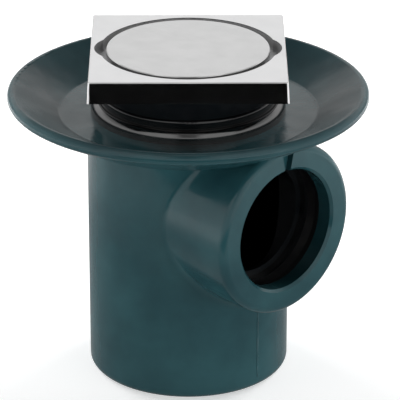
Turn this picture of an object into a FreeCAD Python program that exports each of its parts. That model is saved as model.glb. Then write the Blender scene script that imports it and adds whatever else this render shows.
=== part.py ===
import FreeCAD, Part
import enum
import math
import os
import types

import Sketcher

# Floor drain with a water-seal pot, a side outlet socket, a membrane dish and a height-adjustable top.
# Frame: origin at the middle of the pot's underside, Z up, outlet along +X. Millimetres and degrees.

SIZES = {
    # cast pot
    "pot_wall": 5.3,
    "pot_base_thickness": 6.0,
    "pot_base_round": 5.0,
    "pot_floor_round": 8.0,
    # cast dish around the throat
    "rim_diameter": 224.0,
    "dish_thickness": 7.5,
    "dish_depth": 14.5,
    "dish_slope": 28.0,
    "dish_floor_thickness": 7.0,
    "dish_blend": 4.0,
    # cast outlet hub and its socket
    "outlet_height": 115.8,
    "socket_diameter": 76.8,
    "socket_depth": 27.0,
    "socket_shoulder": 3.9,
    "socket_lead_in": 1.6,
    "hub_wall": 11.9,
    "hub_reach": 25.0,
    "hub_sink": 7.0,
    "hub_taper": 2.5,
    "hub_fillet": 7.0,
    "hub_mouth_round": 4.5,
    "mark_notch_width": 9.0,
    "mark_notch_point": 2.4,
    "mark_notch_depth": 4.0,
    # rubber ring in the socket
    "outlet_seal_setback": 11.0,
    "outlet_seal_width": 10.0,
    "outlet_seal_groove": 4.0,
    "outlet_seal_gap": 0.3,
    "outlet_seal_cove": 1.6,
    # rubber ring in the throat
    "throat_seal_thickness": 5.2,
    "throat_seal_height": 9.0,
    "throat_seal_bead": 7.5,
    "throat_seal_gap": 0.3,
    # plastic riser that slides in the throat
    "riser_diameter": 110.0,
    "riser_wall": 3.5,
    "riser_play": 2.5,
    "riser_drop": 1.5,
    "riser_length": 38.0,
    "riser_lip_width": 11.0,
    "riser_lip_thickness": 3.0,
    "riser_edge_round": 1.4,
    # dip tube that hangs in the riser and makes the water seal
    "water_seal": 43.7,
    "insert_gasket_thickness": 2.0,
    "insert_play": 0.5,
    "insert_flange_thickness": 3.0,
    "insert_wall": 2.5,
    "funnel_step": 8.5,
    "funnel_height": 24.0,
    "pull_tab_width": 16.0,
    "pull_tab_height": 7.0,
    "pull_tab_hole": 9.0,
    # chrome cover frame
    "cover_margin": 5.5,
    "cover_thickness": 13.3,
    "cover_draft": 3.9,
    "cover_corner_round": 1.5,
    "cover_edge_round": 0.5,
    "cover_turn": 46.8,
    "cover_skin": 4.5,
    "cover_wall": 3.0,
    "recess_depth": 8.0,
    "lift_notch_reach": 3.3,
    "lift_notch_radius": 22.0,
    # plastic neck collar under the frame and its spigot ring
    "neck_inset": 1.4,
    "neck_length": 13.5,
    "neck_tongue": 3.0,
    "spigot_length": 12.0,
    "spigot_plug": 6.0,
    "spigot_play": 0.4,
    "spigot_wall": 1.5,
    "swivel_gap": 0.3,
    "neck_ring_thickness": 3.0,
    "neck_ring_gap": 0.25,
    # chrome lid
    "lid_overlap": 4.0,
    "lid_gap": 4.0,
    "lid_thickness": 4.5,
    "lid_edge_bevel": 0.5,
    "lid_foot_width": 3.0,
    "lid_foot_sweep": 14.0,
    "lid_lug_depth": 3.0,
    "lid_lug_play": 0.4,
}

FULL_TURN = 360.0
UPRIGHT = FreeCAD.Vector(0, 0, 1)
LID_FOOT_COUNT = 4
PULL_TAB_COUNT = 2
CORNER_COUNT = 4
NOTCH_COUNT = 2


class SketchAxis(enum.IntEnum):
    """The numbers by which a sketch knows its own axes."""

    X = -1
    Y = -2


class LinePoint(enum.IntEnum):
    """The numbers by which a sketch knows the points of a line or arc."""

    START = 1
    END = 2
    CENTRE = 3


class Size:
    """A number together with the spreadsheet expression that gives it."""

    def __init__(self, value, text):
        self.value = value
        self.text = text

    def __add__(self, other):
        other = as_size(other)
        return Size(self.value + other.value, f"({self.text} + {other.text})")

    def __sub__(self, other):
        other = as_size(other)
        return Size(self.value - other.value, f"({self.text} - {other.text})")

    def __mul__(self, other):
        other = as_size(other)
        return Size(self.value * other.value, f"({self.text} * {other.text})")

    def __truediv__(self, other):
        other = as_size(other)
        return Size(self.value / other.value, f"({self.text} / {other.text})")


def as_size(number):
    return number if isinstance(number, Size) else Size(float(number), repr(float(number)))


def sine(angle):
    return Size(math.sin(math.radians(angle.value)), f"sin({angle.text} * 1 deg)")


def cosine(angle):
    return Size(math.cos(math.radians(angle.value)), f"cos({angle.text} * 1 deg)")


def tangent(angle):
    return Size(math.tan(math.radians(angle.value)), f"tan({angle.text} * 1 deg)")


class Bend:
    """A round stretch of an outline: its centre, a point it passes through and its end."""

    def __init__(self, centre, through, end):
        self.centre = centre
        self.through = through
        self.end = end


doc = FreeCAD.newDocument("floor_drain")
sheet = doc.addObject("Spreadsheet::Sheet", "Sizes")
for row, (name, number) in enumerate(SIZES.items(), start=1):
    sheet.set(f"A{row}", name)
    sheet.set(f"B{row}", str(number))
    sheet.setAlias(f"B{row}", name)
doc.recompute()
size = types.SimpleNamespace(**{name: Size(number, f"Sizes.{name}") for name, number in SIZES.items()})
ZERO = as_size(0)
HALF_DIAGONAL = as_size(math.sqrt(0.5))
CORNER_CUT = as_size(1) - HALF_DIAGONAL


def new_body(label):
    body = doc.addObject("PartDesign::Body", label)
    body.Label = label
    return body


def origin_feature(body, role):
    return next(feature for feature in body.Origin.OriginFeatures if feature.Role == role)


def new_sketch(body, name, plane, lift=None):
    sketch = body.newObject("Sketcher::SketchObject", name)
    sketch.AttachmentSupport = [(origin_feature(body, plane), "")]
    sketch.MapMode = "FlatFace"
    if lift is not None:
        sketch.setExpression("AttachmentOffset.Base.z", lift.text)
    return sketch


def pin_point(sketch, line, end, point):
    """Holds one end of a line to a point whose two coordinates are sizes."""
    pin_coordinate(sketch, line, end, "DistanceX", point[0], SketchAxis.Y)
    pin_coordinate(sketch, line, end, "DistanceY", point[1], SketchAxis.X)


def pin_coordinate(sketch, line, end, kind, amount, zero_axis):
    """Holds one coordinate of a point: on the axis where it is nothing, else at a bound distance."""
    if amount.value == 0:
        sketch.addConstraint(Sketcher.Constraint("PointOnObject", line, end, zero_axis))
    else:
        rule = Sketcher.Constraint(kind, SketchAxis.X, LinePoint.START, line, end, amount.value)
        bind(sketch, sketch.addConstraint(rule), amount)


def bind(sketch, constraint, amount):
    sketch.setExpression(f"Constraints[{constraint}]", amount.text)


def vector(point):
    return FreeCAD.Vector(point[0].value, point[1].value, 0)


def draw_outline(sketch, stretches):
    """Draws a closed outline. A pair of sizes ends a straight stretch, a Bend ends a round one."""
    ends = [stretch.end if isinstance(stretch, Bend) else stretch for stretch in stretches]
    lines = []
    for index, stretch in enumerate(stretches):
        start, end = ends[index - 1], ends[index]
        if isinstance(stretch, Bend):
            curve = Part.Arc(vector(start), vector(stretch.through), vector(end))
        else:
            curve = Part.LineSegment(vector(start), vector(end))
        lines.append(sketch.addGeometry(curve))
    last_ends = [far_end(sketch, line, end) for line, end in zip(lines, ends)]
    for index, (line, stretch) in enumerate(zip(lines, stretches)):
        following = (index + 1) % len(lines)
        first_end = LinePoint.START + LinePoint.END - last_ends[following]
        joined = Sketcher.Constraint("Coincident", line, last_ends[index], lines[following], first_end)
        sketch.addConstraint(joined)
        pin_point(sketch, line, last_ends[index], ends[index])
        if isinstance(stretch, Bend):
            pin_centre(sketch, line, stretch.centre, vector(ends[index]) - vector(ends[index - 1]))


def far_end(sketch, line, end):
    """Tells which end of a line or arc lies at the end of its stretch."""
    def gap(point):
        return (sketch.getPoint(line, point) - vector(end)).Length
    return min(LinePoint.START, LinePoint.END, key=gap)


def pin_centre(sketch, arc, centre, chord):
    """Holds an arc's centre along the one direction that its two ends leave free."""
    if abs(chord.y) > abs(chord.x):
        pin_coordinate(sketch, arc, LinePoint.CENTRE, "DistanceX", centre[0], SketchAxis.Y)
    else:
        pin_coordinate(sketch, arc, LinePoint.CENTRE, "DistanceY", centre[1], SketchAxis.X)


def draw_circle(sketch, centre, radius):
    ring = sketch.addGeometry(Part.Circle(vector(centre), UPRIGHT, radius.value))
    pin_point(sketch, ring, LinePoint.CENTRE, centre)
    bind(sketch, sketch.addConstraint(Sketcher.Constraint("Radius", ring, radius.value)), radius)


def draw_axis(sketch, height, length):
    """A construction line along X that a profile turns about."""
    line = sketch.addGeometry(Part.LineSegment(vector((ZERO, height)), vector((length, height))), True)
    pin_point(sketch, line, LinePoint.START, (ZERO, height))
    pin_point(sketch, line, LinePoint.END, (length, height))


def turn(body, kind, name, outline, axis_height=None, sweep=None):
    """A Revolution or Groove of an outline in the XZ plane, about Z or about a level line along X."""
    sketch = new_sketch(body, name + "_profile", "XZ_Plane")
    axis = "V_Axis"
    if axis_height is not None:
        draw_axis(sketch, axis_height, outlet_reach)
        axis = "Axis0"
    draw_outline(sketch, outline)
    doc.recompute()
    feature = body.newObject(f"PartDesign::{kind}", name)
    feature.Profile = sketch
    feature.ReferenceAxis = (sketch, [axis])
    feature.Angle = FULL_TURN
    if sweep is not None:
        feature.setExpression("Angle", sweep.text)
        feature.Midplane = True
    doc.recompute()
    return feature


def extrude(body, kind, name, sketch, length, forward):
    """A Pad or Pocket of a sketch; forward goes along its plane's normal, otherwise against it."""
    feature = body.newObject(f"PartDesign::{kind}", name)
    feature.Profile = sketch
    feature.setExpression("Length", length.text)
    feature.Reversed = forward if kind == "Pocket" else not forward
    doc.recompute()
    return feature


def repeat(body, name, feature, count):
    """Repeats a feature round the Z axis."""
    pattern = body.newObject("PartDesign::PolarPattern", name)
    pattern.Originals = [feature]
    pattern.Axis = (origin_feature(body, "Z_Axis"), [""])
    pattern.Angle = FULL_TURN
    pattern.Occurrences = count
    body.Tip = pattern
    doc.recompute()
    return pattern


def dress(body, kind, name, wanted, amount):
    """A Fillet or Chamfer on the edges of the body so far that the test picks."""
    base = body.Tip
    names = [f"Edge{index}" for index, edge in enumerate(base.Shape.Edges, start=1) if wanted(edge)]
    feature = body.newObject(f"PartDesign::{kind}", name)
    feature.Base = (base, names)
    feature.setExpression("Radius" if kind == "Fillet" else "Size", amount.text)
    doc.recompute()
    return feature


def upright_turn(angle):
    return FreeCAD.Placement(FreeCAD.Vector(), FreeCAD.Rotation(UPRIGHT, angle))


def near(one, other):
    return abs(one - other) < 1e-3


def ring_at(radius, height):
    """Picks the level circular edges of one radius at one height."""
    def wanted(edge):
        circle = isinstance(edge.Curve, Part.Circle)
        return circle and near(edge.Curve.Radius, radius.value) and near(edge.Curve.Center.z, height.value)
    return wanted


# Trap body: one grey-iron casting, the pot, the dish round its throat and the outlet hub, coated dark teal.
riser_radius = size.riser_diameter / 2
pot_inside = riser_radius + size.riser_play
pot_radius = pot_inside + size.pot_wall

outlet_axis = size.outlet_height
outlet_reach = pot_radius + size.hub_reach
socket_radius = size.socket_diameter / 2
port_radius = socket_radius - size.socket_shoulder
seal_groove_radius = socket_radius + size.outlet_seal_groove
hub_radius = seal_groove_radius + size.hub_wall
hub_root_radius = hub_radius - size.hub_taper
socket_end = outlet_reach - size.socket_depth
seal_front = outlet_reach - size.outlet_seal_setback
seal_back = seal_front - size.outlet_seal_width

dish_underside = outlet_axis + hub_radius - size.hub_sink
dish_floor = dish_underside + size.dish_floor_thickness
rim_height = dish_floor + size.dish_depth
bead = size.dish_thickness / 2
bead_radius = size.rim_diameter / 2 - bead
bead_height = rim_height - bead
lean_out = bead * sine(size.dish_slope)
lean_up = bead * cosine(size.dish_slope)
wall_drop = bead_height + lean_up - dish_floor
dish_floor_radius = bead_radius - lean_out - wall_drop / tangent(size.dish_slope)
under_drop = bead_height - lean_up - dish_underside
dish_under_radius = bead_radius + lean_out - under_drop / tangent(size.dish_slope)

throat_inside = riser_radius + size.throat_seal_gap
rebate_radius = throat_inside + size.throat_seal_thickness
rebate_floor = dish_floor - size.throat_seal_height

trap_body = new_body("trap_body")
turn(trap_body, "Revolution", "pot", [
    (ZERO, ZERO),
    (pot_radius, ZERO),
    (pot_radius, dish_floor),
    (ZERO, dish_floor),
])
dress(trap_body, "Fillet", "pot_base_edge", ring_at(pot_radius, ZERO), size.pot_base_round)
turn(trap_body, "Revolution", "outlet_hub", [
    (ZERO, outlet_axis),
    (ZERO, outlet_axis + hub_root_radius),
    (outlet_reach, outlet_axis + hub_radius),
    (outlet_reach, outlet_axis),
], axis_height=outlet_axis)


def hub_root(edge):
    """Picks the curved edge where the hub runs into the side of the pot."""
    middle = edge.valueAt((edge.FirstParameter + edge.LastParameter) / 2)
    on_pot = near(math.hypot(middle.x, middle.y), pot_radius.value)
    hub_here = hub_root_radius.value + size.hub_taper.value * middle.x / outlet_reach.value
    return on_pot and near(math.hypot(middle.y, middle.z - outlet_axis.value), hub_here)


def mouth_edge(edge):
    """Picks the outer edge of the hub's mouth."""
    middle = edge.valueAt((edge.FirstParameter + edge.LastParameter) / 2)
    at_mouth = near(middle.x, outlet_reach.value)
    return at_mouth and near(math.hypot(middle.y, middle.z - outlet_axis.value), hub_radius.value)


dress(trap_body, "Fillet", "hub_root_fillet", hub_root, size.hub_fillet)
dress(trap_body, "Fillet", "hub_mouth_edge", mouth_edge, size.hub_mouth_round)
turn(trap_body, "Revolution", "dish", [
    (ZERO, dish_underside),
    (dish_under_radius, dish_underside),
    (bead_radius + lean_out, bead_height - lean_up),
    Bend(centre=(bead_radius, bead_height),
         through=(bead_radius + lean_up, bead_height + lean_out),
         end=(bead_radius - lean_out, bead_height + lean_up)),
    (dish_floor_radius, dish_floor),
    (ZERO, dish_floor),
])
dress(trap_body, "Fillet", "dish_floor_edge", ring_at(dish_floor_radius, dish_floor), size.dish_blend)
turn(trap_body, "Groove", "pot_inside", [
    (ZERO, size.pot_base_thickness),
    (pot_inside - size.pot_floor_round, size.pot_base_thickness),
    Bend(centre=(pot_inside - size.pot_floor_round, size.pot_base_thickness + size.pot_floor_round),
         through=(pot_inside - size.pot_floor_round * CORNER_CUT,
                  size.pot_base_thickness + size.pot_floor_round * CORNER_CUT),
         end=(pot_inside, size.pot_base_thickness + size.pot_floor_round)),
    (pot_inside, rebate_floor),
    (rebate_radius, rebate_floor),
    (rebate_radius, dish_floor),
    (ZERO, dish_floor),
])
turn(trap_body, "Groove", "outlet_socket", [
    (ZERO, outlet_axis),
    (ZERO, outlet_axis + port_radius),
    (socket_end, outlet_axis + port_radius),
    (socket_end, outlet_axis + socket_radius),
    (seal_back, outlet_axis + socket_radius),
    (seal_back, outlet_axis + seal_groove_radius),
    (seal_front, outlet_axis + seal_groove_radius),
    (seal_front, outlet_axis + socket_radius),
    (outlet_reach - size.socket_lead_in, outlet_axis + socket_radius),
    (outlet_reach, outlet_axis + socket_radius + size.socket_lead_in),
    (outlet_reach, outlet_axis),
], axis_height=outlet_axis)
notch_top = dish_underside + size.mark_notch_depth / 2
notch_sketch = new_sketch(trap_body, "mark_notch_outline", "YZ_Plane", lift=outlet_reach)
draw_outline(notch_sketch, [
    (ZERO - size.mark_notch_point / 2, outlet_axis + port_radius),
    (size.mark_notch_point / 2, outlet_axis + port_radius),
    (size.mark_notch_width / 2, notch_top),
    (ZERO - size.mark_notch_width / 2, notch_top),
])
doc.recompute()
extrude(trap_body, "Pocket", "mark_notch", notch_sketch, size.mark_notch_depth, forward=False)

# Outlet seal: moulded rubber ring lying in the socket's groove, hollowed on its inside face.
outlet_seal = new_body("outlet_seal")
seal_inside = socket_radius + size.outlet_seal_gap
seal_middle = (seal_front + seal_back) / 2
turn(outlet_seal, "Revolution", "seal_ring", [
    (seal_back, outlet_axis + seal_inside),
    (seal_middle, outlet_axis + seal_inside + size.outlet_seal_cove),
    (seal_front, outlet_axis + seal_inside),
    (seal_front, outlet_axis + seal_groove_radius),
    (seal_back, outlet_axis + seal_groove_radius),
], axis_height=outlet_axis)

# Throat seal: moulded rubber ring in the throat's rebate, its round bead standing proud of the dish floor.
throat_middle = (rebate_radius + throat_inside) / 2
throat_bead = size.throat_seal_thickness / 2
bead_base = dish_floor + size.throat_seal_bead - throat_bead
throat_seal = new_body("throat_seal")
turn(throat_seal, "Revolution", "seal_ring", [
    (throat_inside, rebate_floor),
    (rebate_radius, rebate_floor),
    (rebate_radius, bead_base),
    Bend(centre=(throat_middle, bead_base),
         through=(throat_middle, bead_base + throat_bead),
         end=(throat_inside, bead_base)),
])

# Riser sleeve: injection-moulded black plastic tube, slid in the throat seal, with a lip inside its foot.
riser_inside = riser_radius - size.riser_wall
lip_radius = riser_inside - size.riser_lip_width
riser_top = rim_height - size.riser_drop
riser_foot = riser_top - size.riser_length
riser_seat = riser_foot + size.riser_lip_thickness
riser_sleeve = new_body("riser_sleeve")
turn(riser_sleeve, "Revolution", "sleeve", [
    (lip_radius, riser_foot),
    (riser_radius, riser_foot),
    (riser_radius, riser_top),
    (riser_inside, riser_top),
    (riser_inside, riser_seat),
    (lip_radius, riser_seat),
])
top_edge = ring_at(riser_radius, riser_top)
foot_edge = ring_at(riser_radius, riser_foot)
dress(riser_sleeve, "Fillet", "sleeve_top_edge", top_edge, size.riser_edge_round)
dress(riser_sleeve, "Chamfer", "sleeve_foot_edge", foot_edge, size.riser_edge_round)

# Insert gasket: flat rubber washer on the riser's lip.
spigot_radius = riser_inside - size.spigot_play
ring_section = size.neck_ring_thickness / 2
ring_groove = ring_section + size.neck_ring_gap
ring_radius = riser_inside - ring_groove
inlet_radius = ring_radius - ring_groove - size.spigot_wall
gasket_top = riser_seat + size.insert_gasket_thickness
insert_rim = inlet_radius - size.insert_play
insert_gasket = new_body("insert_gasket")
turn(insert_gasket, "Revolution", "washer", [
    (lip_radius, riser_seat),
    (insert_rim, riser_seat),
    (insert_rim, gasket_top),
    (lip_radius, gasket_top),
])

# Trap insert: moulded plastic funnel and dip tube that hangs on the gasket and lifts out by two tabs.
flange_top = gasket_top + size.insert_flange_thickness
funnel_foot = gasket_top - size.funnel_height
funnel_outside = lip_radius - size.insert_play
funnel_inside = funnel_outside - size.insert_wall
tube_outside = funnel_outside - size.funnel_step
tube_inside = tube_outside - size.insert_wall
tube_foot = outlet_axis - port_radius - size.water_seal
trap_insert = new_body("trap_insert")
turn(trap_insert, "Revolution", "funnel", [
    (tube_inside, tube_foot),
    (tube_outside, tube_foot),
    (tube_outside, funnel_foot),
    (funnel_outside, riser_foot),
    (funnel_outside, gasket_top),
    (insert_rim, gasket_top),
    (insert_rim, flange_top),
    (funnel_inside, flange_top),
    (tube_inside, funnel_foot),
])
tab_half = size.pull_tab_width / 2
tab_shoulder = flange_top + size.pull_tab_height
tab_sketch = new_sketch(trap_insert, "pull_tab_outline", "YZ_Plane", lift=funnel_outside)
draw_outline(tab_sketch, [
    (ZERO - tab_half, flange_top),
    (tab_half, flange_top),
    (tab_half, tab_shoulder),
    Bend(centre=(ZERO, tab_shoulder),
         through=(ZERO, tab_shoulder + tab_half),
         end=(ZERO - tab_half, tab_shoulder)),
])
draw_circle(tab_sketch, (ZERO, tab_shoulder), size.pull_tab_hole / 2)
doc.recompute()
pull_tab = extrude(trap_insert, "Pad", "pull_tab", tab_sketch, size.insert_wall, forward=True)
repeat(trap_insert, "pull_tabs", pull_tab, PULL_TAB_COUNT)

# Cover frame: brass casting, chrome plated, a square plate with a round recess and a groove under it.
neck_radius = riser_radius - size.neck_inset
neck_foot = riser_top + size.swivel_gap
cover_underside = neck_foot + size.neck_length
cover_top = cover_underside + size.cover_thickness
recess_floor = cover_top - size.recess_depth
lid_radius = inlet_radius + size.lid_overlap
recess_radius = lid_radius + size.lid_gap
cover_half = recess_radius + size.cover_margin
neck_middle = (inlet_radius + neck_radius) / 2
tongue_outside = (neck_middle + neck_radius) / 2
tongue_inside = (neck_middle + inlet_radius) / 2
cover_frame = new_body("cover_frame")
plate_sketch = new_sketch(cover_frame, "plate_outline", "XY_Plane", lift=cover_top)
draw_outline(plate_sketch, [
    (ZERO - cover_half, ZERO - cover_half),
    (cover_half, ZERO - cover_half),
    (cover_half, cover_half),
    (ZERO - cover_half, cover_half),
])
doc.recompute()
plate = extrude(cover_frame, "Pad", "plate", plate_sketch, size.cover_thickness, forward=False)
plate.setExpression("TaperAngle", size.cover_draft.text)
doc.recompute()


def plate_corner(edge):
    """Picks the four upright corner edges of the plate."""
    rise = edge.Vertexes[0].Point - edge.Vertexes[-1].Point
    return near(abs(rise.z), size.cover_thickness.value)


dress(cover_frame, "Fillet", "plate_corners", plate_corner, size.cover_corner_round)
dress(cover_frame, "Fillet", "plate_top_edge", lambda edge: near(edge.BoundBox.ZMin, cover_top.value),
      size.cover_edge_round)
turn(cover_frame, "Groove", "recess", [
    (ZERO, cover_underside),
    (inlet_radius, cover_underside),
    (inlet_radius, recess_floor),
    (recess_radius, recess_floor),
    (recess_radius, cover_top),
    (ZERO, cover_top),
])
turn(cover_frame, "Groove", "tongue_groove", [
    (tongue_inside, cover_underside),
    (tongue_outside, cover_underside),
    (tongue_outside, cover_underside + size.neck_tongue),
    (tongue_inside, cover_underside + size.neck_tongue),
])
notch_sketch = new_sketch(cover_frame, "lift_notch_outline", "XY_Plane", lift=cover_top)
notch_centre = recess_radius + size.lift_notch_reach - size.lift_notch_radius
draw_circle(notch_sketch, (notch_centre, ZERO), size.lift_notch_radius)
doc.recompute()
lift_notch = extrude(cover_frame, "Pocket", "lift_notch", notch_sketch, size.recess_depth, forward=False)
repeat(cover_frame, "lift_notches", lift_notch, NOTCH_COUNT)
corner_sketch = new_sketch(cover_frame, "corner_pocket_outline", "XY_Plane", lift=cover_underside)
corner_far = cover_half - size.cover_wall
corner_near = (recess_radius + size.cover_wall) / HALF_DIAGONAL - corner_far
draw_outline(corner_sketch, [
    (corner_far, corner_near),
    (corner_far, corner_far),
    (corner_near, corner_far),
])
doc.recompute()
corner_depth = size.cover_thickness - size.cover_skin
corner_pocket = extrude(cover_frame, "Pocket", "corner_pocket", corner_sketch, corner_depth, forward=True)
repeat(cover_frame, "corner_pockets", corner_pocket, CORNER_COUNT)
cover_frame.Placement = upright_turn(size.cover_turn.value)

# Neck collar: moulded black plastic ring, its tongue bonded into the groove under the frame.
plug_top = neck_foot + size.spigot_plug
neck_collar = new_body("neck_collar")
turn(neck_collar, "Revolution", "collar", [
    (neck_middle, neck_foot),
    (neck_radius, neck_foot),
    (neck_radius, cover_underside),
    (tongue_outside, cover_underside),
    (tongue_outside, cover_underside + size.neck_tongue),
    (tongue_inside, cover_underside + size.neck_tongue),
    (tongue_inside, cover_underside),
    (inlet_radius, cover_underside),
    (inlet_radius, plug_top),
    (neck_middle, plug_top),
])

# Spigot ring: moulded plastic ring screwed into the collar's foot, which turns inside the riser.
spigot_foot = neck_foot - size.spigot_length
ring_height = neck_foot - size.spigot_length / 2
spigot_ring = new_body("spigot_ring")
turn(spigot_ring, "Revolution", "spigot", [
    (inlet_radius, spigot_foot),
    (spigot_radius, spigot_foot),
    (spigot_radius, ring_height - ring_groove),
    (ring_radius - ring_groove, ring_height - ring_groove),
    (ring_radius - ring_groove, ring_height + ring_groove),
    (spigot_radius, ring_height + ring_groove),
    (spigot_radius, neck_foot),
    (neck_middle, neck_foot),
    (neck_middle, plug_top),
    (inlet_radius, plug_top),
])

# Neck ring: rubber O-ring in the spigot's groove, which seals the frame in the riser and steadies it.
neck_ring = doc.addObject("Part::Torus", "neck_ring")
neck_ring.setExpression("Radius1", ring_radius.text)
neck_ring.setExpression("Radius2", ring_section.text)
neck_ring.setExpression("Placement.Base.z", ring_height.text)

# Cover lid: turned brass disc, chrome plated, standing on four feet whose lugs centre it in the inlet.
lid_underside = cover_top - size.lid_thickness
lug_outside = inlet_radius - size.lid_lug_play
lug_inside = lug_outside - size.lid_foot_width
foot_outside = inlet_radius + size.lid_foot_width
cover_lid = new_body("cover_lid")
turn(cover_lid, "Revolution", "disc", [
    (ZERO, lid_underside),
    (lid_radius, lid_underside),
    (lid_radius, cover_top - size.lid_edge_bevel),
    (lid_radius - size.lid_edge_bevel, cover_top),
    (ZERO, cover_top),
])
lid_foot = turn(cover_lid, "Revolution", "foot", [
    (lug_inside, recess_floor - size.lid_lug_depth),
    (lug_outside, recess_floor - size.lid_lug_depth),
    (lug_outside, recess_floor),
    (foot_outside, recess_floor),
    (foot_outside, lid_underside),
    (lug_inside, lid_underside),
], sweep=size.lid_foot_sweep)
repeat(cover_lid, "feet", lid_foot, LID_FOOT_COUNT)
lid_turn = size.cover_turn.value + FULL_TURN / LID_FOOT_COUNT / 2
cover_lid.Placement = upright_turn(lid_turn)

nodes = [
    trap_body, outlet_seal, throat_seal,
    riser_sleeve, insert_gasket, trap_insert,
    cover_frame, neck_collar, spigot_ring, neck_ring, cover_lid,
]
doc.recompute()
for thing in doc.Objects:
    if any(word in thing.State for word in ("Invalid", "Error")):
        raise RuntimeError(f"{thing.Label} failed: {thing.State}")
os.makedirs("parts", exist_ok=True)
for node in nodes:
    if node.Shape.isNull() or not node.Shape.isValid():
        raise RuntimeError(f"{node.Label} has no valid shape")
    node.Shape.exportStep(f"parts/{node.Label}.step")
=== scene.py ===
import math

import bmesh
import bpy
from mathutils import Matrix, Vector


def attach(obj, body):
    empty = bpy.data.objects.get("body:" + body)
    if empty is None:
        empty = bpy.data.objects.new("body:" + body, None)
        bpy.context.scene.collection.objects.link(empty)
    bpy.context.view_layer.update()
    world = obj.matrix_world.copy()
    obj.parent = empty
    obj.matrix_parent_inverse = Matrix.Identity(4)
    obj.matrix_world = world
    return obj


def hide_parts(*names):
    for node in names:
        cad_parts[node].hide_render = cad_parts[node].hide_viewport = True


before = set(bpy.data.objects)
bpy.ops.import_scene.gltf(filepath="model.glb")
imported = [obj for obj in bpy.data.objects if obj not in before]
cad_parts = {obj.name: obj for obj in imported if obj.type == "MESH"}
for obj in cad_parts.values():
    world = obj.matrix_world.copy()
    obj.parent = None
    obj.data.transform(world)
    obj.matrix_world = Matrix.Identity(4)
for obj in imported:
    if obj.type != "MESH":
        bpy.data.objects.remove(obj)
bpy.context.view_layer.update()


# Trap body: the round pot, the wide dish round its throat and the outlet hub, poured as one iron casting.
# It was fettled, then dipped in a glossy dark teal coating that shows the sand mould's gentle waves.
# Inside the pot and the outlet socket, up to where the socket's rubber ring starts, the colour is near black
# painted shade for the dark inside of the bore.
class Nodes:
    """A node tree, built up call by call."""

    def __init__(self, tree):
        self.tree = tree

    def node(self, kind, inputs=None, **settings):
        node = self.tree.nodes.new(kind)
        for name, value in settings.items():
            setattr(node, name, value)
        for name, value in (inputs or {}).items():
            self.give(node.inputs[name], value)
        return node

    def give(self, socket, value):
        if isinstance(value, bpy.types.NodeSocket):
            self.tree.links.new(value, socket)
        else:
            socket.default_value = value


class Finish(Nodes):
    """A surface: one Principled shader, fed by patterns that lie still on the piece."""

    def __init__(self, name, **constants):
        self.material = bpy.data.materials.new(name)
        self.material.use_nodes = True
        super().__init__(self.material.node_tree)
        self.shader = self.tree.nodes["Principled BSDF"]
        self.place = self.node("ShaderNodeTexCoord").outputs["Object"]
        for socket, value in constants.items():
            self.shader.inputs[socket.replace("_", " ")].default_value = value

    def feed(self, socket, value):
        self.give(self.shader.inputs[socket], value)

    def grain(self, size, detail=2.0, stretch=(1.0, 1.0, 1.0), turn=0.0):
        """Soft random patches about this size in metres, drawn out along an axis, then turned about Z."""
        drawn = self.node("ShaderNodeMapping", {
            "Vector": self.place, "Scale": [1 / s for s in stretch], "Rotation": (0, 0, -turn)})
        patches = self.node("ShaderNodeTexNoise", {
            "Vector": drawn.outputs["Vector"], "Scale": 1 / size, "Detail": detail})
        return patches.outputs["Fac"]

    def spread(self, pattern, low, high, start=0.3, end=0.7):
        """Turns a pattern into numbers between low and high."""
        ranged = self.node("ShaderNodeMapRange", {
            "Value": pattern, "From Min": start, "From Max": end, "To Min": low, "To Max": high})
        return ranged.outputs["Result"]

    def blend(self, pattern, one, other):
        """Goes from one colour to the other as the pattern rises."""
        mixed = self.node("ShaderNodeMix", data_type="RGBA")
        self.give(mixed.inputs["Factor"], pattern)
        one_socket, other_socket = (socket for socket in mixed.inputs if socket.type == "RGBA")
        self.give(one_socket, one)
        self.give(other_socket, other)
        return next(socket for socket in mixed.outputs if socket.type == "RGBA")

    def patchy(self, size, one, other, detail=2.0):
        """One colour with soft patches of the other."""
        return self.blend(self.spread(self.grain(size, detail=detail), 0.0, 1.0), one, other)

    def compare(self, operation, one, other):
        return self.node("ShaderNodeMath", {0: one, 1: other}, operation=operation).outputs["Value"]

    def below(self, value, limit):
        return self.compare("LESS_THAN", value, limit)

    def above(self, value, limit):
        return self.compare("GREATER_THAN", value, limit)

    def either(self, one, other):
        return self.compare("MAXIMUM", one, other)

    def every(self, *masks):
        """Keeps only what lies in every mask."""
        kept = masks[0]
        for mask in masks[1:]:
            kept = self.compare("MINIMUM", kept, mask)
        return kept

    def along(self, axis):
        """How far along one axis of the object a point lies, in metres."""
        return self.node("ShaderNodeSeparateXYZ", {"Vector": self.place}).outputs[axis]

    def distance(self, centre, axes):
        """How far from a centre a point lies, counted only along the axes marked one."""
        offset = self.node("ShaderNodeVectorMath", {0: self.place, 1: centre}, operation="SUBTRACT")
        kept = self.node("ShaderNodeVectorMath", {0: offset.outputs["Vector"], 1: axes}, operation="MULTIPLY")
        length = self.node("ShaderNodeVectorMath", {0: kept.outputs["Vector"]}, operation="LENGTH")
        return length.outputs["Value"]

    def relief(self, pattern, height, under=None):
        """Raises the surface by up to height metres where the pattern is high."""
        raised = self.node("ShaderNodeBump", {"Height": pattern, "Distance": height, "Strength": 1.0})
        if under is not None:
            self.give(raised.inputs["Normal"], under)
        return raised.outputs["Normal"]

    def cover(self, piece):
        piece.data.materials.clear()
        piece.data.materials.append(self.material)


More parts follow.
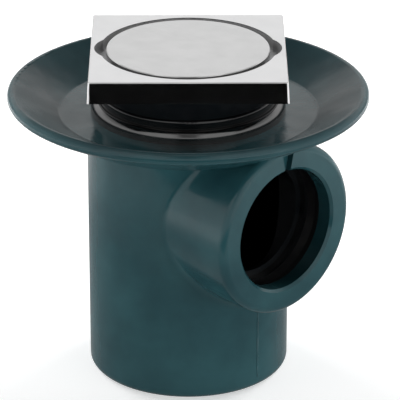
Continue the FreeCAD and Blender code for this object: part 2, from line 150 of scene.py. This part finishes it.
TEAL = (0.0110, 0.0470, 0.0570, 1.0)
TEAL_THIN = (0.0220, 0.0800, 0.0920, 1.0)
TEAL_POOLS = 0.040
# Near black painted shade for the insides of the pot and of the outlet socket.
PAINTED_BORE_SHADE = (0.004, 0.005, 0.006, 1.0)
COATING_IOR = 1.4
COATING_ROUGHNESS = (0.13, 0.23)
COATING_PATCHES = 0.012
WAVES, WAVE_HEIGHT = 0.030, 0.0006
RIPPLES, RIPPLE_HEIGHT = 0.009, 0.00008
SAND, SAND_HEIGHT = 0.0016, 0.00003
FROM_X_AXIS = (0, 1, 1)
FROM_Z_AXIS = (1, 1, 0)
ORIGIN = (0, 0, 0)
OUTLET_AXIS = (0, 0, 0.1158)
GROOVE = 0.0430
SEAL_FRONT = 0.0768
POT_INSIDE = 0.0577
POT_FLOOR = 0.003
THROAT = 0.1612
coating = Finish("teal_coating", IOR=COATING_IOR)
outlet_shade_mask = coating.every(
    coating.below(coating.distance(OUTLET_AXIS, FROM_X_AXIS), GROOVE),
    coating.below(coating.along("X"), SEAL_FRONT),
    coating.above(coating.along("X"), 0.0))
pot_shade_mask = coating.every(
    coating.below(coating.distance(ORIGIN, FROM_Z_AXIS), POT_INSIDE),
    coating.above(coating.along("Z"), POT_FLOOR),
    coating.below(coating.along("Z"), THROAT))
teal = coating.patchy(TEAL_POOLS, TEAL, TEAL_THIN, detail=4.0)
# Painted shade: the insides of the pot and of the outlet socket, up to the rubber ring, get the near black
# colour in place of the teal.
coating.feed("Base Color", coating.blend(coating.either(outlet_shade_mask, pot_shade_mask), teal, PAINTED_BORE_SHADE))
coating.feed("Roughness", coating.spread(coating.grain(COATING_PATCHES), *COATING_ROUGHNESS))
waves = coating.relief(coating.grain(WAVES, detail=1.0), WAVE_HEIGHT)
ripples = coating.relief(coating.grain(RIPPLES, detail=1.0), RIPPLE_HEIGHT, under=waves)
coating.feed("Normal", coating.relief(coating.grain(SAND, detail=3.0), SAND_HEIGHT, under=ripples))
coating.cover(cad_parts["trap_body"])


# Casting seams: thin raised lines where the two halves of the sand mould met, in the outlet's plane.
# They were ground down by hand, so their width wanders, and the coating went over them.
POT_SKIN = 0.0628
SEAM_HALF_WIDTH = 0.0008
SEAM_PROUD = 0.0004
SEAM_FACETS = 16
HAND_GRINDING = (0.4, 0.9, 1.0, 0.75, 1.05, 0.85, 1.0, 0.4)
SEAM_RUNS = {
    "seam_under_outlet": {"side": 1, "foot": 0.007, "head": 0.052},
    "seam_far_side": {"side": -1, "foot": 0.007, "head": 0.150},
}


def made_piece(name, shape):
    """Turns a finished shape into an object of the scene."""
    piece = bpy.data.objects.new(name, bpy.data.meshes.new(name))
    shape.to_mesh(piece.data)
    shape.free()
    bpy.context.scene.collection.objects.link(piece)
    return piece


for name, run in SEAM_RUNS.items():
    ridge = bmesh.new()
    bmesh.ops.create_circle(ridge, cap_ends=True, segments=SEAM_FACETS, radius=HAND_GRINDING[0])
    bmesh.ops.scale(ridge, vec=(SEAM_PROUD, SEAM_HALF_WIDTH, 1.0), verts=ridge.verts)
    tip = ridge.faces[:]
    step = (run["head"] - run["foot"]) / (len(HAND_GRINDING) - 1)
    for before, after in zip(HAND_GRINDING, HAND_GRINDING[1:]):
        drawn = bmesh.ops.extrude_face_region(ridge, geom=tip)["geom"]
        tip_verts = [part for part in drawn if isinstance(part, bmesh.types.BMVert)]
        tip = [part for part in drawn if isinstance(part, bmesh.types.BMFace)]
        bmesh.ops.translate(ridge, vec=(0, 0, step), verts=tip_verts)
        bmesh.ops.scale(ridge, vec=(after / before, after / before, 1.0), verts=tip_verts)
    bmesh.ops.translate(ridge, vec=(run["side"] * POT_SKIN, 0, run["foot"]), verts=ridge.verts)
    bmesh.ops.recalc_face_normals(ridge, faces=ridge.faces)
    for face in ridge.faces:
        face.smooth = True
    seam = made_piece(name, ridge)
    coating.cover(seam)
    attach(seam, "pot")


# Outlet seal: moulded black rubber ring that lies in the groove of the outlet's socket.
# Its hollow inside face presses on the pipe, and a little dust clings to its dull skin.
RUBBER = (0.003, 0.003, 0.004, 1.0)
RUBBER_BLOOM = (0.008, 0.008, 0.008, 1.0)
BLOOM_PATCHES = 0.008
RUB_PATCHES = 0.005
RUB_RANGE = 0.1
MOULD_SKIN, MOULD_SKIN_HEIGHT = 0.0010, 0.000006
OUTLET_SEAL_DULLNESS = 0.35
OUTLET_SEAL_IOR = 1.4


def rubber(name, dullness, ior=1.5):
    """Black rubber with a faint bloom; dullness is its roughness where it is cleanest."""
    skin = Finish(name, IOR=ior)
    skin.feed("Base Color", skin.patchy(BLOOM_PATCHES, RUBBER, RUBBER_BLOOM))
    skin.feed("Roughness", skin.spread(skin.grain(RUB_PATCHES), dullness, dullness + RUB_RANGE))
    skin.feed("Normal", skin.relief(skin.grain(MOULD_SKIN, detail=1.0), MOULD_SKIN_HEIGHT))
    return skin


rubber("outlet_rubber", OUTLET_SEAL_DULLNESS, OUTLET_SEAL_IOR).cover(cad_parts["outlet_seal"])


# Throat seal: moulded rubber ring pressed into the rebate of the pot's throat, and smeared with clear grease.
# Its shoulder stands proud of the dish floor and is rounded off up to a thin lip that wipes the riser.
RING_INSIDE, RING_OUTSIDE = 0.0553, 0.0605
RING_FOOT, RING_LIP = 0.1611, 0.1776
SHOULDER, SHOULDER_FACETS = 0.0047, 12
LIP_EDGE, LIP_FACETS = 0.0002, 2
RING_FACETS = 144
SEAM_GAP = 0.00001
SHARP_EDGE = math.radians(40)
THROAT_SEAL_DULLNESS = 0.12
GREASED_IOR = 2.0
ring = bmesh.new()
bmesh.ops.create_grid(ring, x_segments=1, y_segments=1, size=0.5)
bmesh.ops.rotate(ring, matrix=Matrix.Rotation(math.pi / 2, 3, "X"), verts=ring.verts)
bmesh.ops.scale(ring, vec=(RING_OUTSIDE - RING_INSIDE, 1.0, RING_LIP - RING_FOOT), verts=ring.verts)
bmesh.ops.translate(
    ring, vec=((RING_OUTSIDE + RING_INSIDE) / 2, 0, (RING_LIP + RING_FOOT) / 2), verts=ring.verts)
top_corners = sorted(ring.verts, key=lambda corner: corner.co.z)[2:]
lip_corner, shoulder_corner = sorted(top_corners, key=lambda corner: corner.co.x)
roundings = ((shoulder_corner, SHOULDER, SHOULDER_FACETS), (lip_corner, LIP_EDGE, LIP_FACETS))
for corner, rounding, facets in roundings:
    bmesh.ops.bevel(ring, geom=[corner], offset=rounding, affect="VERTICES", segments=facets,
                    profile=0.5, material=-1)
section = ring.edges[:]
bmesh.ops.delete(ring, geom=ring.faces[:], context="FACES_KEEP_BOUNDARY")
bmesh.ops.spin(ring, geom=section, cent=ORIGIN, axis=(0, 0, 1), angle=math.tau, steps=RING_FACETS,
               use_merge=True)
bmesh.ops.remove_doubles(ring, verts=ring.verts, dist=SEAM_GAP)
bmesh.ops.recalc_face_normals(ring, faces=ring.faces)
for face in ring.faces:
    face.smooth = True
for edge in ring.edges:
    edge.smooth = edge.calc_face_angle(0.0) < SHARP_EDGE
throat_ring = made_piece("throat_ring", ring)
rubber("throat_rubber", THROAT_SEAL_DULLNESS, GREASED_IOR).cover(throat_ring)
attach(throat_ring, "pot")
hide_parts("throat_seal")


# Riser sleeve: black plastic tube, injection moulded, with a lip inside its foot.
# It slides in the throat seal to set the cover's height, which draws fine upright scuffs on it.
BLACK = (0.003, 0.003, 0.004, 1.0)
BLACK_WORN = (0.007, 0.007, 0.008, 1.0)
WORN_PATCHES = 0.010
PLASTIC_IOR = 1.5
PLASTIC_ROUGHNESS = (0.08, 0.17)
SCUFFS, SCUFF_HEIGHT = 0.0012, 0.000004
UPRIGHT_SCUFFS = (1.0, 1.0, 30.0)


def black_plastic(name, scuff_stretch):
    """Glossy black plastic with scuffs drawn out along the way that it rubs."""
    gloss = Finish(name, IOR=PLASTIC_IOR)
    gloss.feed("Base Color", gloss.patchy(WORN_PATCHES, BLACK, BLACK_WORN))
    scuffs = gloss.grain(SCUFFS, detail=3.0, stretch=scuff_stretch)
    gloss.feed("Roughness", gloss.spread(scuffs, *PLASTIC_ROUGHNESS))
    gloss.feed("Normal", gloss.relief(scuffs, SCUFF_HEIGHT))
    return gloss


black_plastic("riser_plastic", UPRIGHT_SCUFFS).cover(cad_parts["riser_sleeve"])


# Insert gasket: flat washer stamped from black rubber sheet.
# It lies on the riser's lip, and the insert's flange presses it down.
GASKET_DULLNESS = 0.45
rubber("gasket_rubber", GASKET_DULLNESS).cover(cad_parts["insert_gasket"])


# Trap insert: funnel and dip tube moulded in one piece from dark grey plastic, with two pull tabs.
# It drops into the riser, and its spark-worn mould leaves a satin face.
GREY = (0.030, 0.031, 0.034, 1.0)
GREY_SCUFFED = (0.055, 0.056, 0.060, 1.0)
SCUFF_PATCHES = 0.010
SATIN_PATCHES = 0.005
INSERT_ROUGHNESS = (0.38, 0.55)
SPARKS, SPARK_HEIGHT = 0.0009, 0.00002
insert = Finish("insert_plastic")
insert.feed("Base Color", insert.patchy(SCUFF_PATCHES, GREY, GREY_SCUFFED))
insert.feed("Roughness", insert.spread(insert.grain(SATIN_PATCHES), *INSERT_ROUGHNESS))
insert.feed("Normal", insert.relief(insert.grain(SPARKS), SPARK_HEIGHT))
insert.cover(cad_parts["trap_insert"])


# Spigot ring and neck ring: moulded black plastic ring that plugs into the riser, with a rubber O-ring.
# The O-ring lies in the spigot's groove and lets the cover turn while it keeps water in.
ROUND_SCUFFS = (12.0, 12.0, 1.0)
NECK_RING_DULLNESS = 0.25
black_plastic("spigot_plastic", ROUND_SCUFFS).cover(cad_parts["spigot_ring"])
rubber("ring_rubber", NECK_RING_DULLNESS).cover(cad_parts["neck_ring"])


# Neck collar: moulded black plastic ring between the spigot and the chrome plate.
# Its tongue is pressed into the groove under the plate.
black_plastic("collar_plastic", ROUND_SCUFFS).cover(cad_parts["neck_collar"])


# Cover frame: square brass casting, ground flat, polished and chrome plated.
# Its round recess and lift notches are plated too, but left as cast, so they look dull.
CHROME = (0.72, 0.72, 0.725, 1.0)
CHROME_HAZE = (0.68, 0.68, 0.685, 1.0)
HAZE_PATCHES = 0.020
RECESS_WALL = (0.0578, 0.0586)
PLATE_TOP = (0.2095, 0.2100)
SMEARS = 0.008
POLISHED_ROUGHNESS = (0.05, 0.09)
AS_CAST_ROUGHNESS = 0.5
POLISHING, POLISHING_HEIGHT = 0.025, 0.00002
chrome = Finish("polished_chrome", Metallic=1.0)
chrome.feed("Base Color", chrome.patchy(HAZE_PATCHES, CHROME, CHROME_HAZE))
in_recess = chrome.spread(chrome.distance(ORIGIN, FROM_Z_AXIS), 1.0, 0.0, *RECESS_WALL)
under_top = chrome.spread(chrome.along("Z"), 1.0, 0.0, *PLATE_TOP)
as_cast = chrome.every(in_recess, under_top)
polished = chrome.spread(chrome.grain(SMEARS, detail=4.0), *POLISHED_ROUGHNESS)
chrome.feed("Roughness", chrome.spread(as_cast, polished, AS_CAST_ROUGHNESS, start=0.0, end=1.0))
chrome.feed("Normal", chrome.relief(chrome.grain(POLISHING, detail=1.0), POLISHING_HEIGHT))
chrome.cover(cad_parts["cover_frame"])


# Cover lid: round brass disc, turned, chrome plated and brushed to a soft satin.
# It stands loose in the recess on four feet, with a drain gap all round it.
SATIN = (0.615, 0.615, 0.615, 1.0)
SATIN_HAZE = (0.575, 0.575, 0.575, 1.0)
LID_PATCHES = 0.016
BRUSHING, BRUSHING_HEIGHT = 0.0010, 0.000002
BRUSHING_STRETCH = (25.0, 1.0, 1.0)
BRUSHED_ROUGHNESS = (0.12, 0.18)
DENTS, DENT_HEIGHT = 0.020, 0.00002
COVER_TURN = math.radians(46.8)
satin = Finish("satin_chrome", Metallic=1.0)
satin.feed("Base Color", satin.patchy(LID_PATCHES, SATIN, SATIN_HAZE))
brushing = satin.grain(BRUSHING, detail=3.0, stretch=BRUSHING_STRETCH, turn=COVER_TURN)
satin.feed("Roughness", satin.spread(brushing, *BRUSHED_ROUGHNESS))
dents = satin.relief(satin.grain(DENTS, detail=1.0), DENT_HEIGHT)
satin.feed("Normal", satin.relief(brushing, BRUSHING_HEIGHT, under=dents))
satin.cover(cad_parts["cover_lid"])


# Camera: a long lens that looks down on the cover from the front.
# It stands square to the plate's front edge.
VIEW_RISE = math.radians(21.11)
VIEW_DISTANCE = 1.8541
AIM_RIGHT, AIM_DOWN = 0.00717, 0.0701
LENS_MM, SENSOR_MM = 269.9, 36.0
RIM_MIDDLE = Vector((0.0, 0.0, 0.1846))
scene = bpy.context.scene
scene.view_settings.view_transform = "Standard"
front = Vector((math.sin(COVER_TURN), -math.cos(COVER_TURN), 0.0))
right = Vector((math.cos(COVER_TURN), math.sin(COVER_TURN), 0.0))
up = Vector((0.0, 0.0, 1.0))
to_camera = front * math.cos(VIEW_RISE) + up * math.sin(VIEW_RISE)
picture_up = to_camera.cross(right)
aim = RIM_MIDDLE + right * AIM_RIGHT - picture_up * AIM_DOWN
camera = bpy.data.objects.new("camera", bpy.data.cameras.new("camera"))
camera.location = RIM_MIDDLE + to_camera * VIEW_DISTANCE
camera.rotation_euler = (aim - camera.location).to_track_quat("-Z", "Y").to_euler()
camera.data.lens = LENS_MM
camera.data.sensor_width = SENSOR_MM
scene.collection.objects.link(camera)
scene.camera = camera


# Studio surround: plain white to the lens and in mirrors.
# For all other light it is a soft tent, whose walls glow up to some height and fade towards the camera.
TENT_LIGHT = 0.8
TENT_WALLS = ((2, 0.6), (12, 1.0), (38, 1.0), (50, 0.05))
TENT_FADE = (-0.4, 0.2)
TENT_FRONT = 0.1
WHITE = (1.0, 1.0, 1.0, 1.0)


def seen_directly(nodes):
    """One for camera, glossy and transmission rays, nothing for the rest."""
    path = nodes.node("ShaderNodeLightPath")
    seen = path.outputs["Is Camera Ray"]
    for ray in ("Is Glossy Ray", "Is Transmission Ray"):
        most = nodes.node("ShaderNodeMath", {0: seen, 1: path.outputs[ray]}, operation="MAXIMUM")
        seen = most.outputs["Value"]
    return seen


scene.world = bpy.data.worlds.new("studio")
scene.world.use_nodes = True
scene.world.node_tree.nodes.clear()
sky = Nodes(scene.world.node_tree)
way = sky.node("ShaderNodeTexCoord").outputs["Generated"]
height = sky.node("ShaderNodeSeparateXYZ", {"Vector": way}).outputs["Z"]
walls = sky.node("ShaderNodeValToRGB", {"Fac": height})
stops = walls.color_ramp.elements
for stripe, (rise, shade) in enumerate(TENT_WALLS):
    stop = stops[stripe] if stripe < len(stops) else stops.new(1.0)
    stop.position = math.sin(math.radians(rise))
    stop.color = (shade, shade, shade, 1.0)
forward = sky.node("ShaderNodeVectorMath", {0: way, 1: front}, operation="DOT_PRODUCT")
dimmed = sky.node("ShaderNodeMapRange", {
    "Value": forward.outputs["Value"], "From Min": TENT_FADE[0], "From Max": TENT_FADE[1],
    "To Min": TENT_LIGHT, "To Max": TENT_LIGHT * TENT_FRONT})
tent = sky.node("ShaderNodeBackground", {
    "Color": walls.outputs["Color"], "Strength": dimmed.outputs["Result"]})
white = sky.node("ShaderNodeBackground", {"Color": WHITE})
choice = sky.node("ShaderNodeMixShader", {
    "Fac": seen_directly(sky), 1: tent.outputs["Background"], 2: white.outputs["Background"]})
sky.node("ShaderNodeOutputWorld", {"Surface": choice.outputs["Shader"]})


# Floor: a wide sheet of pale matt paper under the pot, which keeps the object's shadow.
# To the lens and in mirrors it glows a little, so that it runs out into the white surround.
FLOOR_REACH = 4.0
FLOOR_DROP = 0.0002
PAPER = (0.85, 0.85, 0.85, 1.0)
PAPER_LIFT = 0.5


def stage_piece(name, shape):
    """Turns a finished shape into an object of the studio set, not attached to any body of the object."""
    piece = made_piece(name, shape)
    return piece


def sheet(name, middle, along, across):
    """A flat sheet about a middle, with half its length along one way and half its width along the other."""
    shape = bmesh.new()
    bmesh.ops.create_grid(shape, x_segments=1, y_segments=1, size=1.0)
    turned = Matrix((along, across, along.cross(across).normalized())).transposed()
    bmesh.ops.transform(shape, matrix=Matrix.Translation(middle) @ turned.to_4x4(), verts=shape.verts)
    return stage_piece(name, shape)


floor = sheet("floor", up * -FLOOR_DROP, right * FLOOR_REACH, front * -FLOOR_REACH)
floor_paper = bpy.data.materials.new("floor_paper")
floor_paper.use_nodes = True
floor_paper.node_tree.nodes.clear()
paper = Nodes(floor_paper.node_tree)
matt = paper.node("ShaderNodeBsdfDiffuse", {"Color": PAPER})
glow = paper.node("ShaderNodeEmission", {"Strength": PAPER_LIFT})
lifted = paper.node("ShaderNodeAddShader", {0: matt.outputs["BSDF"], 1: glow.outputs["Emission"]})
choice = paper.node("ShaderNodeMixShader", {
    "Fac": seen_directly(paper), 1: matt.outputs["BSDF"], 2: lifted.outputs["Shader"]})
paper.node("ShaderNodeOutputMaterial", {"Surface": choice.outputs["Shader"]})
floor.data.materials.append(floor_paper)


# Studio cards: glowing, grey and black cloths that only mirrors see, as a studio hangs round shiny metal.
# A mat round the pot is grey near it, as painted shade of the floor, and white further out; a black one lies
# before it, a low wall stands behind and a roof is hung on top.
# Two bright cards over the camera's sides, with a darker flag between, draw the paired glints on the rings.
MAT_HALF, MAT_LIFT = 0.5, 0.0005
MAT_SHADE_NEAR_POT, MAT_FAR = (0.34, 0.34, 0.34, 1.0), WHITE
MAT_FADE = {"start": 0.25, "end": 0.48}
FRONT_MAT_AWAY, FRONT_MAT_LIFT = 0.98, 0.001
FRONT_MAT_HALF_WIDTH, FRONT_MAT_HALF_DEPTH = 0.55, 0.62
FRONT_MAT_SHADE = 0.004
WALL_AWAY = 1.6
WALL_HALF_WIDTH, WALL_HALF_HEIGHT = 2.0, 0.31
WALL_SHADE = 0.55
FLAG = {"turn": 0, "rise": 48, "distance": 0.9, "half_width": 0.15, "half_height": 0.4}
FLAG_SHADE = 0.3
GLINT_CARD = {"rise": 36, "distance": 1.0, "half_width": 0.36, "half_height": 0.5}
GLINT_TURNS = (-36, 36)
GLINT_SHADE = 1.15
ROOF = {"segments": 48, "radius1": 1.45, "radius2": 0.2, "depth": 0.85}
ROOF_HEIGHT = 1.5
ROOF_DARKEST = front * -0.85 + up * 1.4
ROOF_FADE = {"start": 0.45, "end": 0.9}
ROOF_BACK, ROOF_REST = (0.22, 0.22, 0.22, 1.0), (0.6, 0.6, 0.6, 1.0)
EVERY_WAY = (1, 1, 1)


def cloth(name, shade=1.0):
    """A cloth that shows one even shade, whatever light falls on it."""
    return Finish(name, Base_Color=(0, 0, 0, 1), Specular_IOR_Level=0.0,
                  Emission_Color=(shade, shade, shade, 1), Emission_Strength=1.0)


def hang(card, finish):
    """Gives a card its cloth and hides it from everything but mirrors."""
    finish.cover(card)
    card.visible_camera = False
    card.visible_diffuse = False
    card.visible_transmission = False
    card.visible_shadow = False


def bearing(turn, rise):
    """The way out from the object, so many degrees round from the camera and above level, and its upward."""
    turn, rise = math.radians(turn), math.radians(rise)
    level = front * math.cos(turn) + right * math.sin(turn)
    return level * math.cos(rise) + up * math.sin(rise), up * math.cos(rise) - level * math.sin(rise)


def raised_card(name, turn, rise, distance, half_width, half_height):
    """A card that faces the rim from a bearing."""
    outward, upward = bearing(turn, rise)
    middle = RIM_MIDDLE + outward * distance
    return sheet(name, middle, upward.cross(outward) * half_width, upward * half_height)


# Painted shade: near the pot the mat is grey, for the floor's shade round the pot as mirrors see it, and it
# fades to white further out.
mat_cloth = cloth("mat_cloth")
from_pot = mat_cloth.spread(mat_cloth.distance(ORIGIN, FROM_Z_AXIS), 0.0, 1.0, **MAT_FADE)
mat_cloth.feed("Emission Color", mat_cloth.blend(from_pot, MAT_SHADE_NEAR_POT, MAT_FAR))
hang(sheet("near_mat", up * MAT_LIFT, right * MAT_HALF, front * -MAT_HALF), mat_cloth)
front_mat = sheet("front_mat", front * FRONT_MAT_AWAY + up * FRONT_MAT_LIFT,
                  right * FRONT_MAT_HALF_WIDTH, front * -FRONT_MAT_HALF_DEPTH)
hang(front_mat, cloth("front_cloth", FRONT_MAT_SHADE))
low_wall = sheet("low_wall", front * -WALL_AWAY + up * WALL_HALF_HEIGHT,
                 right * WALL_HALF_WIDTH, up * WALL_HALF_HEIGHT)
hang(low_wall, cloth("wall_cloth", WALL_SHADE))
hang(raised_card("front_flag", **FLAG), cloth("flag_cloth", FLAG_SHADE))
for turn in GLINT_TURNS:
    hang(raised_card("glint_card", turn, **GLINT_CARD), cloth("glint_cloth", GLINT_SHADE))
roof = bmesh.new()
bmesh.ops.create_cone(roof, cap_ends=False, **ROOF)
bmesh.ops.translate(roof, vec=up * ROOF_HEIGHT, verts=roof.verts)
roof_cloth = cloth("roof_cloth")
from_darkest = roof_cloth.spread(roof_cloth.distance(ROOF_DARKEST, EVERY_WAY), 0.0, 1.0, **ROOF_FADE)
roof_cloth.feed("Emission Color", roof_cloth.blend(from_darkest, ROOF_BACK, ROOF_REST))
hang(stage_piece("roof", roof), roof_cloth)


# Studio lamps: two soft lamps behind the object, one on each side, and two low, wide fills nearer the camera.
# They light the pot's flanks and the sides of the dish, and mirrors don't see them.
LAMPS = {
    "left_lamp": {"turn": -130, "rise": 20, "distance": 1.3, "watts": 12.0, "size": (0.8, 0.5)},
    "right_lamp": {"turn": 130, "rise": 20, "distance": 1.3, "watts": 12.0, "size": (0.8, 0.5)},
    "left_fill": {"turn": -72, "rise": 3, "distance": 2.2, "watts": 24.0, "size": (1.7, 0.42)},
    "right_fill": {"turn": 48, "rise": 3, "distance": 2.2, "watts": 30.0, "size": (1.7, 0.42)},
}
POT_MIDDLE = Vector((0.0, 0.0, 0.12))
for name, softbox in LAMPS.items():
    light = bpy.data.lights.new(name, "AREA")
    light.energy = softbox["watts"]
    light.shape = "RECTANGLE"
    light.size, light.size_y = softbox["size"]
    lamp = bpy.data.objects.new(name, light)
    outward, _ = bearing(softbox["turn"], softbox["rise"])
    lamp.location = POT_MIDDLE + outward * softbox["distance"]
    lamp.rotation_euler = (-outward).to_track_quat("-Z", "Y").to_euler()
    lamp.visible_glossy = False
    scene.collection.objects.link(lamp)
